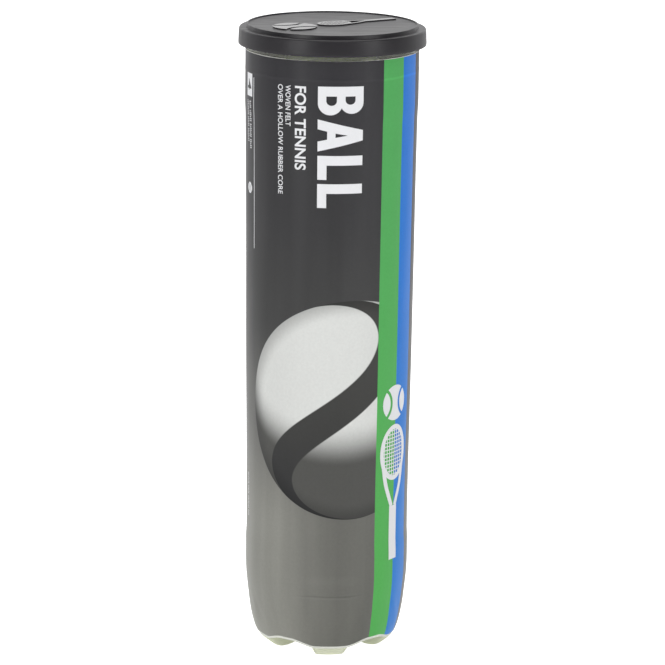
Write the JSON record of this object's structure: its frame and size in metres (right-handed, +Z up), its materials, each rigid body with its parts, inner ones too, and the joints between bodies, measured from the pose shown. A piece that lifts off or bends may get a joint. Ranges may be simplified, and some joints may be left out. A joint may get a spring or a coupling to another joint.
{
  "type": "tennis ball can",
  "caption": "Clear plastic can of tennis balls with a printed sleeve, a metal ring-pull end and a press-on overcap.",
  "frame": {"origin": "centre of the can's base, on the plane its feet stand on", "axes": "+Z up along the can's axis, -Y towards the front of the label, where one foot points, +X to the right seen from the front"},
  "size_m": [0.0798, 0.08, 0.2754],
  "materials": {
    "clear_pet": "clear, faintly yellow-green",
    "printed_sleeve": "satin printed film, charcoal fading to warm grey",
    "end_aluminium": "drawn, faintly brushed",
    "seam_compound": "matt",
    "panel_aluminium": "brushed",
    "rivet_aluminium": "drawn",
    "tab_aluminium": "rolled",
    "overcap_plastic": "satin moulded",
    "ball_1_core_a_rubber": "matt",
    "ball_1_core_b_rubber": "matt",
    "ball_1_felt_a_fabric": "napped felt",
    "ball_1_felt_b_fabric": "napped felt",
    "ball_1_seam_rubber": "matt",
    "ball_2_core_a_rubber": "matt",
    "ball_2_core_b_rubber": "matt",
    "ball_2_felt_a_fabric": "napped felt",
    "ball_2_felt_b_fabric": "napped felt",
    "ball_2_seam_rubber": "matt",
    "ball_3_core_a_rubber": "matt",
    "ball_3_core_b_rubber": "matt",
    "ball_3_felt_a_fabric": "napped felt",
    "ball_3_felt_b_fabric": "napped felt",
    "ball_3_seam_rubber": "matt",
    "ball_4_core_a_rubber": "matt",
    "ball_4_core_b_rubber": "matt",
    "ball_4_felt_a_fabric": "napped felt",
    "ball_4_felt_b_fabric": "napped felt",
    "ball_4_seam_rubber": "matt"
  },
  "bodies": {
    "can": {"can_body": "clear_pet", "label_sleeve": "printed_sleeve", "end_ring": "end_aluminium", "seam_gasket": "seam_compound"},
    "panel": {"tear_panel": "panel_aluminium", "tab_rivet": "rivet_aluminium"},
    "tab": {"pull_tab": "tab_aluminium"},
    "cap": {"overcap": "overcap_plastic"},
    "ball_1": {"ball_1_core_half_a": "ball_1_core_a_rubber", "ball_1_core_half_b": "ball_1_core_b_rubber", "ball_1_felt_a": "ball_1_felt_a_fabric", "ball_1_felt_b": "ball_1_felt_b_fabric", "ball_1_seam": "ball_1_seam_rubber"},
    "ball_2": {"ball_2_core_half_a": "ball_2_core_a_rubber", "ball_2_core_half_b": "ball_2_core_b_rubber", "ball_2_felt_a": "ball_2_felt_a_fabric", "ball_2_felt_b": "ball_2_felt_b_fabric", "ball_2_seam": "ball_2_seam_rubber"},
    "ball_3": {"ball_3_core_half_a": "ball_3_core_a_rubber", "ball_3_core_half_b": "ball_3_core_b_rubber", "ball_3_felt_a": "ball_3_felt_a_fabric", "ball_3_felt_b": "ball_3_felt_b_fabric", "ball_3_seam": "ball_3_seam_rubber"},
    "ball_4": {"ball_4_core_half_a": "ball_4_core_a_rubber", "ball_4_core_half_b": "ball_4_core_b_rubber", "ball_4_felt_a": "ball_4_felt_a_fabric", "ball_4_felt_b": "ball_4_felt_b_fabric", "ball_4_seam": "ball_4_seam_rubber"}
  },
  "joints": [
    {"name": "overcap_lift", "type": "slide", "parent": "can", "child": "cap", "axis": [0, 0, 1], "range_m": [0, 0.24]},
    {"name": "tear_panel_peel", "type": "hinge", "parent": "can", "child": "panel", "pos_m": [0, 0.0385, 0.2729], "axis": [-1, 0, 0], "range_deg": [0, 160]},
    {"name": "pull_tab_lift", "type": "hinge", "parent": "panel", "child": "tab", "pos_m": [0, -0.0306, 0.26905], "axis": [1, 0, 0], "range_deg": [0, 75]},
    {"name": "ball_1_rise", "type": "slide", "parent": "can", "child": "ball_1", "axis": [0, 0, 1], "range_m": [0, 0.07]},
    {"name": "ball_2_rise", "type": "slide", "parent": "can", "child": "ball_2", "axis": [0, 0, 1], "range_m": [0, 0.07]},
    {"name": "ball_3_rise", "type": "slide", "parent": "can", "child": "ball_3", "axis": [0, 0, 1], "range_m": [0, 0.07]},
    {"name": "ball_4_rise", "type": "slide", "parent": "can", "child": "ball_4", "axis": [0, 0, 1], "range_m": [0, 0.07]}
  ],
  "couplings": [
    {"joint": "tear_panel_peel", "follows": "overcap_lift", "rad_per_m": 11.599},
    {"joint": "pull_tab_lift", "follows": "overcap_lift", "rad_per_m": 5.4178},
    {"joint": "ball_1_rise", "follows": "overcap_lift", "ratio": 0.29083},
    {"joint": "ball_2_rise", "follows": "overcap_lift", "ratio": 0.29083},
    {"joint": "ball_3_rise", "follows": "overcap_lift", "ratio": 0.29083},
    {"joint": "ball_4_rise", "follows": "overcap_lift", "ratio": 0.29083}
  ]
}
